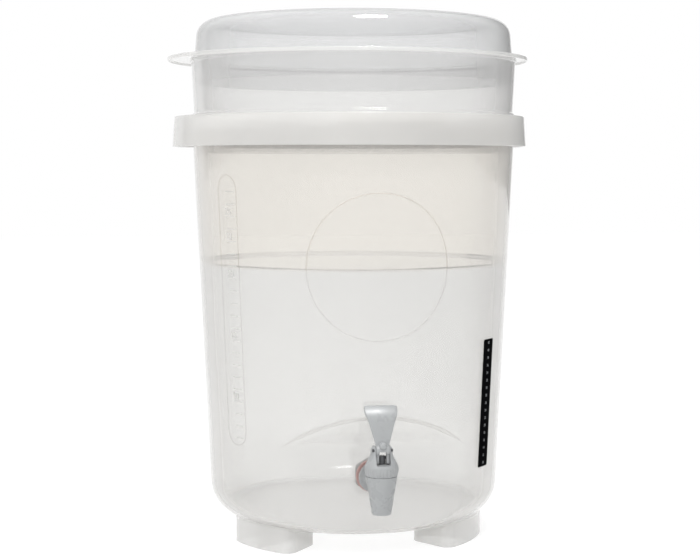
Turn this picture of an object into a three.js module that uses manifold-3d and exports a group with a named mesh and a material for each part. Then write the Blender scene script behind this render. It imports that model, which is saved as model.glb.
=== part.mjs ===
// Plastic fermenting bucket: a tapered see-through vessel on three feet, a foam collar nested in its mouth,
// a domed lid with two lifting ears, a stick-on thermometer strip and a sprung lever tap low on the front.
// Millimetres, +Z up, the tap faces -Y. The origin is on the floor, under the middle of the whole object.
import * as THREE from "three";
import { mergeVertices } from "three/addons/utils/BufferGeometryUtils.js";
import Module from "manifold-3d";

const wasm = await Module();
wasm.setup();

// Smoothness: steps round the bucket, round the tap's larger and smaller turned parts, and in each curve
const bucketSteps = 72;
const tapSteps = 32;
const pinSteps = 14;
const filletSteps = 9;
const shoulderSteps = 6;
const crownSteps = 3;
const footArcSteps = 4;
const stripSteps = 6;
const springSteps = 9;
const springSides = 6;

// Clearances: seat is left between pieces that rest on each other, slip round pieces that slide or turn,
// and a cutting shape runs past what it cuts by overcut
const seat = 0.3;
const slip = 0.25;
const overcut = 5;

// Vessel shell, measured on its outside
const footHeight = 21;
const shellHeight = 420.7;
const baseRadius = 151.3;
const taper = 0.0467;
const wall = 2.2;
const floorThickness = 2.6;
const baseFillet = 36;

// Grip band round the mouth: a downward-open skirt, wider at the two sides where the hands go, and
// wider on the left than on the right
const bandDepth = 31.5;
const bandReach = 5;
const bandLobeLeft = 13.2;
const bandLobeRight = 4.9;
const bandDraft = 2;
const bandWall = 2.4;
const bandEdge = 0.8;

// Feet: one behind and one to each side of the tap, open underneath with a rib across
const footOuter = 137.5;
const footInner = 84;
const footHalfAngle = 19.5;
const footCorner = 11;
const footWall = 2.6;
const footRoof = 2;
const frontFootAngle = 55.5;

// Flat tap panel, sunk into the front of the shell under a sloping arch
const panelInset = 26.3;
const panelHeight = 91;
const panelSlope = 45;

// The brew it is filled with, from the underside to the brew's surface, and the room left at the tap's inlet
const brewFill = 267;
const inletRoom = 5;

// Foam collar
const collarBelow = 38;
const collarShown = 58.8;
const collarWall = 2.2;
const collarGap = 0.5;
const ledgeHeight = 2;
const ledgeSeat = 1.4;
const rimHeight = 3;
const rimOut = 0.9;

// Lid, whose flange is wider at the same two sides as the band and makes the lifting ears
const lidGap = 0.6;
const lidWall = 2.3;
const plugDepth = 24;
const flangeReach = 2.6;
const flangeLobeLeft = 21.3;
const flangeLobeRight = 9.4;
const flangeThickness = 2.4;
const lipDepth = 4;
const lipWall = 2;
const lipEdge = 0.8;
const domeHeight = 42.5;
const domeStep = 0.7;
const domeLean = 2;
const domeShoulder = 17;
const domeCrown = 4;

// Thermometer strip on the wall, its angle counted from the tap
const stripAngle = 50.5;
const stripWidth = 20;
const stripLength = 132;
const stripBottom = 61;
const stripThickness = 0.5;

// Tap shank, flange and barrel
const tapHeight = 59.5;
const barrelOut = 50;
const shankRadius = 12;
const shankBore = 6.5;
const shankInside = 17.5;
const neckRadius = 9.5;
const flangeRadius = 15;
const flangePlate = 3.5;
const spoutBelow = 27;
const spoutRadius = 9.3;
const spoutWall = 1.9;
const barrelRadius = 15.4;
const barrelAbove = 10.5;
const barrelEdge = 0.8;
const threadRadius = 12;
const threadHeight = 7.5;
const chamberRadius = 9.6;
const valveSeatBelow = 12;
const valveSeatBore = 5.6;
const valveSeatThickness = 2;

// Tap washers and back nut
const innerWasherRadius = 16.4;
const innerWasherThickness = 3;
const outerWasherRadius = 14.4;
const outerWasherThickness = 2.4;
const nutFlats = 32;
const nutSides = 6;
const nutCorner = 17.6;
const nutThickness = 8;

// Bonnet: a domed cap whose slot leaves two cheeks that hold the lever's pin
const bonnetBase = 15;
const bonnetRadius = 16.6;
const bonnetShoulder = 5.5;
const bonnetHeight = 29.5;
const bonnetWaist = 10.4;
const bonnetTop = 8.6;
const bonnetCrown = 2.5;
const bonnetFloor = 4;
const bonnetSlot = 14;

// Lever pin, and the lever measured from the pin: forward is towards the user
const pinForward = 5;
const pinBelowTop = 4;
const pinRadius = 1.5;
const pinHalf = 10;
const hubRadius = 5;
const legWidth = 13.2;
const legGap = 7.4;
const legFront = 2.6;
const legBack = 2.4;
const legDrop = 13;
const legGapTop = 1;
const toeReach = 9.5;
const toeDrop = 9.8;
const bladeThickness = 3.4;
const bladeBend = 29;
const bladeLean = 4;
const bladeTop = 40;
const bladeTopLean = 9;
const bladeBendWidth = 27;
const bladeTopWidth = 32.3;
const bladeCorner = 2;
const nubRadius = 3.6;
const nubAbove = 4.5;
const nubForward = 6.2;

// Valve stem, seat cup and return spring
const stemRadius = 3.2;
const stemAboveBar = 1.2;
const barWidth = 12.2;
const barDepth = 4;
const barHeight = 2.4;
const barBack = 6;
const stemFoot = 4.6;
const stemFootThickness = 2;
const cupRadius = 8.4;
const cupThickness = 7;
const cupEdge = 1.4;
const cupSole = 2.6;
const springWire = 0.5;
const springRadius = 5.4;
const springTurns = 5;

// Heights worked out from the sizes above
const mouth = footHeight + shellHeight;
const brewTop = footHeight + brewFill;
const collarBottom = mouth - collarBelow;
const collarTop = mouth + collarShown;
const flangeUnder = collarTop + seat;
const flangeTop = flangeUnder + flangeThickness;
const lidTop = flangeTop + domeHeight;
const bandFront = wallRadius(mouth) + bandReach;
const flangeFront = collarRadius(collarTop) + rimOut + flangeReach;

// Tap places worked out: y is negative in front of the bucket's axis
const tapZ = footHeight + tapHeight;
const panelFront = panelInset - baseRadius;
const panelBack = panelFront + wall;
const barrelY = panelFront - barrelOut;
const spoutBottom = tapZ - spoutBelow;
const barrelTop = tapZ + barrelAbove;
const threadTop = barrelTop + threadHeight;
const bonnetBottom = barrelTop + seat;
const bonnetPeak = bonnetBottom + bonnetHeight;
const bonnetCeiling = threadTop + seat;
const slotFloor = bonnetCeiling + bonnetFloor;
const pinY = barrelY - pinForward;
const pinZ = bonnetPeak - pinBelowTop;
const valveSeat = tapZ - valveSeatBelow;
const cupBottom = valveSeat + seat;
const cupTop = cupBottom + cupThickness;
const stemBottom = cupBottom + cupSole + seat;
const barBottom = pinZ - toeDrop + seat;
const stemTop = barBottom + barHeight + stemAboveBar;

const milky = { roughness: 0.38, metalness: 0 };
const vesselPlastic = new THREE.MeshStandardMaterial({ color: 0xeceae6, ...milky });
const collarPlastic = new THREE.MeshStandardMaterial({ color: 0xe4e4e3, ...milky });
const lidPlastic = new THREE.MeshStandardMaterial({ color: 0xdedfe0, ...milky });
const paleBrew = new THREE.MeshStandardMaterial({ color: 0xe9e6da, ...milky });
const blackFilm = new THREE.MeshStandardMaterial({ color: 0x1a1b1c, roughness: 0.45, metalness: 0 });
const greyPlastic = new THREE.MeshStandardMaterial({ color: 0xa9abac, roughness: 0.42, metalness: 0 });
const darkPlastic = new THREE.MeshStandardMaterial({ color: 0x3a3b3d, roughness: 0.5, metalness: 0 });
const redRubber = new THREE.MeshStandardMaterial({ color: 0xb8473f, roughness: 0.7, metalness: 0 });
const greyRubber = new THREE.MeshStandardMaterial({ color: 0x5c5e60, roughness: 0.75, metalness: 0 });
const silicone = new THREE.MeshStandardMaterial({ color: 0xd9d6cf, roughness: 0.6, metalness: 0 });
const steel = new THREE.MeshStandardMaterial({ color: 0xb9bbbd, roughness: 0.3, metalness: 1 });

const radians = THREE.MathUtils.degToRad;
const degrees = THREE.MathUtils.radToDeg;

// The solid that a closed geometry encloses
function solid(geometry) {
  const bare = geometry.clone();
  bare.deleteAttribute("normal");
  bare.deleteAttribute("uv");
  const merged = mergeVertices(bare);
  const corners = merged.index.array;
  const kept = [];
  for (let i = 0; i < corners.length; i += 3) {
    const [a, b, c] = [corners[i], corners[i + 1], corners[i + 2]];
    if (a !== b && b !== c && c !== a) kept.push(a, b, c);
  }
  const vertProperties = new Float32Array(merged.attributes.position.array);
  const triVerts = new Uint32Array(kept);
  return new wasm.Manifold(new wasm.Mesh({ numProp: 3, vertProperties, triVerts }));
}

// One named piece, from a solid
function piece(name, body, material) {
  const { vertProperties, triVerts } = body.getMesh();
  const geometry = new THREE.BufferGeometry();
  geometry.setAttribute("position", new THREE.Float32BufferAttribute(vertProperties, 3));
  geometry.setIndex(new THREE.BufferAttribute(new Uint32Array(triVerts), 1));
  geometry.computeVertexNormals();
  const mesh = new THREE.Mesh(geometry, material);
  mesh.name = name;
  return mesh;
}

// Points along an arc, as pairs
function arc(centreA, centreB, radius, from, to, steps) {
  const points = [];
  for (let i = 0; i <= steps; i++) {
    const angle = radians(from + ((to - from) * i) / steps);
    points.push([centreA + radius * Math.cos(angle), centreB + radius * Math.sin(angle)]);
  }
  return points;
}

// A solid turned about the Z axis from [radius, height] points that run upwards on the outside
function turned(points, steps) {
  const profile = points.map(([r, z]) => new THREE.Vector2(r, z));
  return solid(new THREE.LatheGeometry(profile, steps).rotateX(Math.PI / 2));
}

// The same for a profile that stays off the axis, which is closed on itself
function turnedRing(points, steps) {
  return turned([...points, points[0]], steps);
}

// A ring whose cross-section, a loop of [radius, height] points upwards on the outside, changes round it
function shapedRing(steps, sectionAt) {
  const places = [];
  const corners = [];
  const count = sectionAt(0).length;
  for (let i = 0; i < steps; i++) {
    const angle = (i / steps) * 2 * Math.PI;
    for (const [r, z] of sectionAt(angle)) places.push(r * Math.cos(angle), r * Math.sin(angle), z);
    const here = i * count;
    const next = ((i + 1) % steps) * count;
    for (let j = 0; j < count; j++) {
      const up = (j + 1) % count;
      corners.push(here + j, next + j, next + up, here + j, next + up, here + up);
    }
  }
  const geometry = new THREE.BufferGeometry();
  geometry.setAttribute("position", new THREE.Float32BufferAttribute(places, 3));
  geometry.setIndex(corners);
  return solid(geometry);
}

// An outline of [x, y] points pushed up along Z
function pushedUp(outline, from, to) {
  const shape = new THREE.Shape(outline.map(([a, b]) => new THREE.Vector2(a, b)));
  const geometry = new THREE.ExtrudeGeometry(shape, { depth: to - from, bevelEnabled: false });
  return geometry.translate(0, 0, from);
}

// An outline of [y, z] points pushed along X to both sides of the middle
function pushedAcross(outline, halfWidth) {
  const axes = new THREE.Matrix4().makeBasis(
    new THREE.Vector3(0, 1, 0),
    new THREE.Vector3(0, 0, 1),
    new THREE.Vector3(1, 0, 0),
  );
  return solid(pushedUp(outline, -halfWidth, halfWidth).applyMatrix4(axes));
}

// An outline of [x, z] points pushed along Y
function pushedBack(outline, from, to) {
  return solid(pushedUp(outline, -to, -from).rotateX(Math.PI / 2));
}

// A block from its middle in x, its ends in y and in z
function block(width, fromY, toY, fromZ, toZ) {
  const box = new THREE.BoxGeometry(width, toY - fromY, toZ - fromZ);
  return solid(box.translate(0, (fromY + toY) / 2, (fromZ + toZ) / 2));
}

// A rod along X about the middle, and one along Y
function rodAcross(radius, half, y, z, steps) {
  const rod = new THREE.CylinderGeometry(radius, radius, half * 2, steps).rotateZ(Math.PI / 2);
  return solid(rod.translate(0, y, z));
}

function rodBack(radius, from, to, z, steps) {
  return solid(new THREE.CylinderGeometry(radius, radius, to - from, steps).translate(0, (from + to) / 2, z));
}

// The shell's outer radius at a height, and the collar's, which keeps inside the shell's mouth
function wallRadius(z) {
  return baseRadius + taper * (z - footHeight);
}

function collarRadius(z) {
  return wallRadius(z) - wall - collarGap;
}

// The lid's plug, which keeps inside the collar
function plugRadius(z) {
  return collarRadius(z) - collarWall - lidGap;
}

// A radius that widens to both sides: the oval outline of the band and of the lid's flange
function widened(front, lobeLeft, lobeRight, angle) {
  const across = Math.cos(angle);
  return front + (across < 0 ? lobeLeft : lobeRight) * across ** 2;
}

// The shell's outer shape, or with an inset its hollow
function shellBody(inset, bottom, top) {
  const fillet = baseFillet - inset;
  const turn = bottom + fillet;
  const centre = wallRadius(turn) - inset - fillet;
  return turned(
    [
      [0, bottom],
      ...arc(centre, turn, fillet, -90, 0, filletSteps),
      [wallRadius(top) - inset, top],
      [0, top],
    ],
    bucketSteps,
  );
}

// What the sunk panel takes off in front of its plane, with the slope that makes the arch above it
function panelCut(front, slopeFoot) {
  const rise = baseRadius * Math.tan(radians(panelSlope));
  const outline = [
    [front, -overcut],
    [front, slopeFoot],
    [front - baseRadius, slopeFoot + rise],
    [front - baseRadius, -overcut],
  ];
  return pushedAcross(outline.reverse(), baseRadius);
}

// Plan outline of a foot, shrunk evenly by an inset: an arc-shaped pad with rounded corners
function footOutline(middle, inset) {
  const round = footCorner - inset;
  const outer = footOuter - footCorner;
  const inner = footInner + footCorner;
  const outerTurn = footHalfAngle - degrees(Math.asin(footCorner / outer));
  const innerTurn = footHalfAngle - degrees(Math.asin(footCorner / inner));
  const side = footHalfAngle + 90;
  const corner = (radius, turn, from, to) => {
    const angle = radians(middle + turn);
    const centre = [radius * Math.cos(angle), radius * Math.sin(angle)];
    return arc(...centre, round, middle + from, middle + to, footArcSteps);
  };
  const rim = (radius, turn) => arc(0, 0, radius, middle - turn, middle + turn, footArcSteps).slice(1, -1);
  return [
    ...rim(footOuter - inset, outerTurn),
    ...corner(outer, outerTurn, outerTurn, side),
    ...corner(inner, innerTurn, side, 180 + innerTurn),
    ...rim(footInner + inset, innerTurn).reverse(),
    ...corner(inner, -innerTurn, 180 - innerTurn, 360 - side),
    ...corner(outer, -outerTurn, 360 - side, 360 - outerTurn),
  ];
}

// The pocket under a foot, in two halves with a rib between them
function footPocket(middle) {
  const pocket = solid(pushedUp(footOutline(middle, footWall), -overcut, footHeight - footRoof));
  const rib = new THREE.BoxGeometry(footOuter * 2, footWall, footHeight * 2).rotateZ(radians(middle));
  return pocket.subtract(solid(rib));
}

function makeVessel() {
  const feet = [90, -90 - frontFootAngle, -90 + frontFootAngle];
  const hollowBottom = footHeight + floorThickness;
  let body = shellBody(0, footHeight, mouth).subtract(panelCut(panelFront, footHeight + panelHeight));
  for (const middle of feet) {
    body = body.add(solid(pushedUp(footOutline(middle, 0), 0, footHeight + baseFillet / 2)));
  }
  const slopeShift = wall * Math.tan(radians(panelSlope / 2));
  const hollow = shellBody(wall, hollowBottom, mouth + overcut);
  body = body.subtract(hollow.subtract(panelCut(panelBack, footHeight + panelHeight + slopeShift)));
  for (const middle of feet) body = body.subtract(footPocket(middle));
  const bore = rodBack(shankRadius + slip, panelFront - overcut, panelBack + overcut, tapZ, tapSteps);
  return body.subtract(bore).add(makeBand());
}

function makeBand() {
  const root = wallRadius(mouth) - wall / 2;
  return shapedRing(bucketSteps, (angle) => {
    const out = widened(bandFront, bandLobeLeft, bandLobeRight, angle);
    return [
      [out + bandDraft - bandWall, mouth - bandDepth],
      [out + bandDraft, mouth - bandDepth],
      [out, mouth - bandEdge],
      [out - bandEdge, mouth],
      [root, mouth],
      [root, mouth - bandWall],
      [out - bandWall, mouth - bandWall],
    ];
  });
}

function makeCollar() {
  const ledge = mouth + seat;
  const ledgeRadius = wallRadius(mouth) - wall + ledgeSeat;
  const ledgeTop = ledge + ledgeHeight;
  const rim = collarTop - rimHeight;
  return turnedRing(
    [
      [collarRadius(collarBottom) - collarWall, collarBottom],
      [collarRadius(collarBottom), collarBottom],
      [collarRadius(ledge), ledge],
      [ledgeRadius, ledge],
      [ledgeRadius, ledgeTop],
      [collarRadius(ledgeTop), ledgeTop + ledgeRadius - collarRadius(ledgeTop)],
      [collarRadius(rim), rim],
      [collarRadius(rim) + rimOut, rim + rimOut],
      [collarRadius(collarTop) + rimOut, collarTop],
      [collarRadius(collarTop) - collarWall, collarTop],
    ],
    bucketSteps,
  );
}

// One face of the dome, from the flange's height up the wall, round the shoulder and over the crown
function domeFace(inset) {
  const foot = plugRadius(flangeTop) - domeStep - inset;
  const round = domeShoulder - inset;
  const turn = lidTop - domeCrown - domeShoulder;
  const centre = foot - domeLean - round;
  const crown = [];
  for (let i = 1; i <= crownSteps; i++) {
    const share = 1 - i / crownSteps;
    crown.push([centre * share, lidTop - inset - domeCrown * share ** 2]);
  }
  return [[foot, flangeTop], ...arc(centre, turn, round, 0, 90, shoulderSteps), ...crown];
}

function makeLid() {
  const bottom = flangeUnder - plugDepth;
  const shell = turned(
    [
      ...domeFace(lidWall).reverse(),
      [plugRadius(bottom) - lidWall, bottom],
      [plugRadius(bottom), bottom],
      [plugRadius(flangeTop), flangeTop],
      ...domeFace(0),
    ],
    bucketSteps,
  );
  const root = plugRadius(flangeUnder) - lidWall / 2;
  const flange = shapedRing(bucketSteps, (angle) => {
    const out = widened(flangeFront, flangeLobeLeft, flangeLobeRight, angle);
    return [
      [out - lipWall, flangeTop - lipDepth],
      [out, flangeTop - lipDepth],
      [out, flangeTop - lipEdge],
      [out - lipEdge, flangeTop],
      [root, flangeTop],
      [root, flangeUnder],
      [out - lipWall, flangeUnder],
    ];
  });
  return shell.add(flange);
}

function makeStrip() {
  const half = degrees(stripWidth / 2 / wallRadius(footHeight + stripBottom));
  const middle = stripAngle - 90;
  const inside = baseRadius + seat;
  const outline = [
    ...arc(0, 0, inside + stripThickness, middle - half, middle + half, stripSteps),
    ...arc(0, 0, inside, middle + half, middle - half, stripSteps),
  ];
  const bottom = footHeight + stripBottom;
  const geometry = pushedUp(outline, bottom, bottom + stripLength);
  const places = geometry.getAttribute("position");
  for (let i = 0; i < places.count; i++) {
    const [x, y, z] = [places.getX(i), places.getY(i), places.getZ(i)];
    const grown = 1 + (taper * (z - footHeight)) / Math.hypot(x, y);
    places.setXYZ(i, x * grown, y * grown, z);
  }
  return solid(geometry);
}

// The brew, clear of the wall, of the panel and of what is on the tap's shank
function makeBrew() {
  const inset = wall + seat;
  const slopeFoot = footHeight + panelHeight + inset * Math.tan(radians(panelSlope / 2));
  return shellBody(inset, footHeight + floorThickness + seat, brewTop)
    .subtract(panelCut(panelFront + inset, slopeFoot))
    .subtract(rodBack(nutCorner + seat, panelFront, nutBack + seat, tapZ, tapSteps))
    .subtract(rodBack(shankRadius + seat, panelFront, shankEnd + inletRoom, tapZ, tapSteps));
}

// The tap's barrel and spout about their own upright axis: the outside, then the way through
function spoutOutside() {
  return turned(
    [
      [0, spoutBottom],
      [spoutRadius, spoutBottom],
      [barrelRadius, barrelTop - barrelEdge],
      [barrelRadius - barrelEdge, barrelTop],
      [threadRadius, barrelTop],
      [threadRadius, threadTop],
      [0, threadTop],
    ],
    tapSteps,
  );
}

function spoutInside() {
  const under = valveSeat - valveSeatThickness;
  const slope = (barrelRadius - spoutRadius) / (barrelTop - barrelEdge - spoutBottom);
  return turned(
    [
      [0, spoutBottom - overcut],
      [spoutRadius - spoutWall, spoutBottom - overcut],
      [spoutRadius - spoutWall, spoutBottom],
      [spoutRadius - spoutWall + slope * (under - spoutBottom), under],
      [valveSeatBore, under],
      [valveSeatBore, valveSeat],
      [chamberRadius, valveSeat],
      [chamberRadius, threadTop + overcut],
      [0, threadTop + overcut],
    ],
    tapSteps,
  );
}

// Where the pieces on the shank begin and end, from the flange through the wall to the nut
const outerWasherBack = panelFront - seat;
const outerWasherFront = outerWasherBack - outerWasherThickness;
const flangeBack = outerWasherFront - seat;
const innerWasherFront = panelBack + seat;
const innerWasherBack = innerWasherFront + innerWasherThickness;
const nutFront = innerWasherBack + seat;
const nutBack = nutFront + nutThickness;
const shankEnd = panelBack + shankInside;

function makeTapBody() {
  return spoutOutside()
    .translate(0, barrelY, 0)
    .add(rodBack(neckRadius, barrelY, flangeBack, tapZ, tapSteps))
    .add(rodBack(flangeRadius, flangeBack - flangePlate, flangeBack, tapZ, tapSteps))
    .add(rodBack(shankRadius, flangeBack - flangePlate, shankEnd, tapZ, tapSteps))
    .subtract(spoutInside().translate(0, barrelY, 0))
    .subtract(rodBack(shankBore, barrelY, shankEnd + overcut, tapZ, tapSteps));
}

function makeWasher(radius, from, to) {
  const hole = rodBack(shankRadius + slip, from - overcut, to + overcut, tapZ, tapSteps);
  return rodBack(radius, from, to, tapZ, tapSteps).subtract(hole);
}

function makeNut() {
  const corner = nutFlats / Math.sqrt(3);
  const outline = arc(0, tapZ, corner, 0, 360, nutSides).slice(1);
  const hexagon = pushedBack(outline, nutFront, nutBack);
  return makeWasher(nutCorner, nutFront, nutBack).intersect(hexagon);
}

function makeBonnet() {
  const side = new THREE.CubicBezierCurve(
    new THREE.Vector2(bonnetRadius, bonnetBottom + bonnetShoulder),
    new THREE.Vector2(bonnetRadius, bonnetPeak - bonnetHeight / 2),
    new THREE.Vector2(bonnetWaist, bonnetPeak - bonnetHeight / 2),
    new THREE.Vector2(bonnetWaist, bonnetPeak - bonnetCrown),
  );
  const sides = side.getPoints(filletSteps).map((point) => [point.x, point.y]);
  const outside = turned(
    [[0, bonnetBottom], [bonnetBase, bonnetBottom], ...sides, [bonnetTop, bonnetPeak], [0, bonnetPeak]],
    tapSteps,
  );
  const inside = turned(
    [
      [0, bonnetBottom - overcut],
      [threadRadius + slip, bonnetBottom - overcut],
      [threadRadius + slip, bonnetCeiling],
      [stemRadius + slip, bonnetCeiling],
      [stemRadius + slip, slotFloor + overcut],
      [0, slotFloor + overcut],
    ],
    tapSteps,
  );
  const [slotFront, slotBack] = [barrelY - bonnetRadius, barrelY + bonnetRadius];
  return outside
    .subtract(inside)
    .translate(0, barrelY, 0)
    .subtract(block(bonnetSlot, slotFront, slotBack, slotFloor, bonnetPeak + overcut))
    .subtract(rodAcross(pinRadius + slip, bonnetRadius, pinY, pinZ, pinSteps));
}

function makePin() {
  return rodAcross(pinRadius, pinHalf, pinY, pinZ, pinSteps);
}

// A band of even thickness along a line of [y, z] points, as a closed outline
function ribbon(line, half) {
  const [left, right] = [[], []];
  line.forEach(([y, z], i) => {
    const [y0, z0] = line[Math.max(i - 1, 0)];
    const [y1, z1] = line[Math.min(i + 1, line.length - 1)];
    const length = Math.hypot(y1 - y0, z1 - z0);
    const [across, along] = [((z1 - z0) / length) * half, ((y1 - y0) / length) * half];
    right.push([y + across, z - along]);
    left.unshift([y - across, z + along]);
  });
  return [...right, ...left];
}

function makeLever() {
  const bendY = pinY + bladeLean;
  const blade = ribbon(
    [
      [pinY, pinZ],
      [bendY, pinZ + bladeBend],
      [bendY + bladeTopLean, pinZ + bladeTop],
    ],
    bladeThickness / 2,
  );
  const legBottom = pinZ - legDrop;
  const half = legWidth / 2;
  const tip = bladeTopWidth / 2;
  const flare = bladeBend + (bladeTop - bladeBend) / 2;
  const right = [
    [half, legBottom - overcut],
    [half, pinZ + hubRadius],
    [bladeBendWidth / 2, pinZ + bladeBend],
    [tip, pinZ + flare],
    [tip, pinZ + bladeTop - bladeCorner],
    [tip - bladeCorner, pinZ + bladeTop + bladeThickness],
  ];
  const left = right.map(([x, z]) => [-x, z]).reverse();
  const front = pushedBack([...right, ...left], pinY - bladeTop, pinY + bladeTop);
  const reach = pinY + toeReach;
  const gapFront = pinY - hubRadius - overcut;
  const gap = block(legGap, gapFront, reach + overcut, legBottom - overcut, pinZ - legGapTop);
  return pushedAcross(blade, tip)
    .add(rodAcross(hubRadius, half, pinY, pinZ, tapSteps))
    .add(block(legWidth, pinY - legFront, pinY + legBack, legBottom, pinZ))
    .add(block(legWidth, pinY - legFront, reach, legBottom, pinZ - toeDrop))
    .intersect(front)
    .add(rodBack(nubRadius, pinY - nubForward, pinY, pinZ + nubAbove, pinSteps))
    .subtract(gap)
    .subtract(rodAcross(pinRadius + slip, bonnetRadius, pinY, pinZ, pinSteps));
}

function makeStem() {
  const rod = turned(
    [
      [0, stemBottom],
      [stemFoot, stemBottom],
      [stemFoot, stemBottom + stemFootThickness],
      [stemRadius, stemBottom + stemFootThickness],
      [stemRadius, stemTop],
      [0, stemTop],
    ],
    tapSteps,
  );
  const bar = block(barWidth, pinY + barBack, pinY + barBack + barDepth, barBottom, barBottom + barHeight);
  return rod.translate(0, barrelY, 0).add(bar);
}

function makeCup() {
  const pocketTop = stemBottom + stemFootThickness + seat;
  return turned(
    [
      [0, cupBottom],
      [cupRadius - cupEdge, cupBottom],
      [cupRadius, cupBottom + cupEdge],
      [cupRadius, cupTop - cupEdge],
      [cupRadius - cupEdge, cupTop],
      [stemRadius + slip, cupTop],
      [stemRadius + slip, pocketTop],
      [stemFoot + slip, pocketTop],
      [stemFoot + slip, cupBottom + cupSole],
      [0, cupBottom + cupSole],
    ],
    tapSteps,
  ).translate(0, barrelY, 0);
}

// The return spring between the seat cup and the bonnet's ceiling
class SpringLine extends THREE.Curve {
  getPoint(t, target = new THREE.Vector3()) {
    const angle = t * springTurns * 2 * Math.PI;
    const low = cupTop + seat + springWire;
    const high = bonnetCeiling - seat - springWire;
    return target.set(springRadius * Math.cos(angle), springRadius * Math.sin(angle), low + (high - low) * t);
  }
}

function makeSpring() {
  const section = new THREE.Shape(arc(0, 0, springWire, 0, 360, springSides).slice(1)
    .map(([a, b]) => new THREE.Vector2(a, b)));
  const geometry = new THREE.ExtrudeGeometry(section, {
    steps: springSteps * springTurns,
    extrudePath: new SpringLine(),
    bevelEnabled: false,
  });
  return solid(geometry).translate(0, barrelY, 0);
}

// The tap as it comes apart on a bench
const tap = new THREE.Group();
tap.add(
  piece("tap_body", makeTapBody(), greyPlastic),
  piece("tap_bonnet", makeBonnet(), greyPlastic),
  piece("tap_lever", makeLever(), greyPlastic),
  piece("lever_pin", makePin(), darkPlastic),
  piece("valve_stem", makeStem(), darkPlastic),
  piece("seat_cup", makeCup(), silicone),
  piece("return_spring", makeSpring(), steel),
  piece("outer_washer", makeWasher(outerWasherRadius, outerWasherFront, outerWasherBack), greyRubber),
  piece("inner_washer", makeWasher(innerWasherRadius, innerWasherFront, innerWasherBack), redRubber),
  piece("back_nut", makeNut(), greyPlastic),
);

// Everything stands about the bucket's own axis, then moves so that the origin is under the middle of it all
const bucket = new THREE.Group();
bucket.add(
  piece("vessel", makeVessel(), vesselPlastic),
  piece("brew", makeBrew(), paleBrew),
  piece("foam_collar", makeCollar(), collarPlastic),
  piece("lid", makeLid(), lidPlastic),
  piece("thermometer_strip", makeStrip(), blackFilm),
  tap,
);
const frontReach = bonnetRadius - barrelY;
const backReach = bandFront + bandDraft;
const leftReach = Math.max(flangeFront + flangeLobeLeft, backReach + bandLobeLeft);
const rightReach = Math.max(flangeFront + flangeLobeRight, backReach + bandLobeRight);
bucket.position.set((leftReach - rightReach) / 2, (frontReach - backReach) / 2, 0);

const fermentingBucket = new THREE.Group();
fermentingBucket.add(bucket);

export default fermentingBucket;
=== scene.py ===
# A plastic fermenting bucket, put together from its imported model: one section for each piece, in the
# order that the real one goes together. Lengths are in metres, -Y is the front where the tap is, +Z is
# up.
import math

import bmesh
import bpy
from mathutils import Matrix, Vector


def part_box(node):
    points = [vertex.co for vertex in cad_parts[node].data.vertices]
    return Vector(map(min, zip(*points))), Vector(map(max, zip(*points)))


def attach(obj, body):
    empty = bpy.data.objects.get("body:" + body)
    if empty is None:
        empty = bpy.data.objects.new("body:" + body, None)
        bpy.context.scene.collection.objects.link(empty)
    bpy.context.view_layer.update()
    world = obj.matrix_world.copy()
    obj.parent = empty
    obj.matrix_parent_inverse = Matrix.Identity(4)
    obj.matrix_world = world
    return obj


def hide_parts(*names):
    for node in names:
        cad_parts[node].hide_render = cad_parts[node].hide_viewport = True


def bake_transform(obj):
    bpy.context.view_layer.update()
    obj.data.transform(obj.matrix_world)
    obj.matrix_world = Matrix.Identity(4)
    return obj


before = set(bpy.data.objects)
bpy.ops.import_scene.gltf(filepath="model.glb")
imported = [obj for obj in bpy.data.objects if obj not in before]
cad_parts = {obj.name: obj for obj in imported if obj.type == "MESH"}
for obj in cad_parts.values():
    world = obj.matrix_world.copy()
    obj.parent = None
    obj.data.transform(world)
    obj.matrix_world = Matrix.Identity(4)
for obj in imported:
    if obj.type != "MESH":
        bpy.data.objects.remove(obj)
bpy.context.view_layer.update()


# The camera. It stands level with the collar and a little to the left of the tap, so that the tap sits
# right of the middle, and looks slightly down on the floor in front of the feet.
collar_low, collar_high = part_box("foam_collar")
axis_x = (collar_low.x + collar_high.x) / 2
axis_y = (collar_low.y + collar_high.y) / 2
photo_width = 700
photo_height = 560
sensor_width = 36.0
focal_pixels = 1545
horizon_row = 166
axis_column = 353.3
camera_distance = 1.65
camera_height = 0.39
camera_azimuth = math.radians(-9)

camera_data = bpy.data.cameras.new("camera")
camera_data.sensor_width = sensor_width
camera_data.lens = focal_pixels * sensor_width / photo_width
camera = bpy.data.objects.new("camera", camera_data)
bpy.context.scene.collection.objects.link(camera)
camera.location = (
    axis_x + camera_distance * math.sin(camera_azimuth),
    axis_y - camera_distance * math.cos(camera_azimuth),
    camera_height,
)
tilt_down = math.atan((photo_height / 2 - horizon_row) / focal_pixels)
turn_left = math.atan((axis_column - photo_width / 2) / focal_pixels)
camera.rotation_euler = (math.radians(90) - tilt_down, 0, camera_azimuth + turn_left)
bpy.context.scene.camera = camera
bpy.context.scene.view_settings.view_transform = "Standard"


# The studio: a white paper backdrop behind the bucket in a room that is a little darker, a large softbox
# on the left, a small one high in front for the glints on the lid and the lever, and a white floor that
# keeps the bucket's shadow.
def new_node(tree, kind, settings=None, **values):
    node = tree.nodes.new(kind)
    for name, value in (settings or {}).items():
        setattr(node, name, value)
    for name, value in values.items():
        node.inputs[name.replace("_", " ")].default_value = value
    return node


def feed(tree, socket, value):
    """Links an output to a socket, or sets the socket to a plain value."""
    if isinstance(value, bpy.types.NodeSocket):
        tree.links.new(value, socket)
    else:
        socket.default_value = value


def calculate(tree, operation, *values):
    node = new_node(tree, "ShaderNodeMath", {"operation": operation})
    for socket, value in zip(node.inputs, values):
        feed(tree, socket, value)
    return node.outputs[0]


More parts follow.
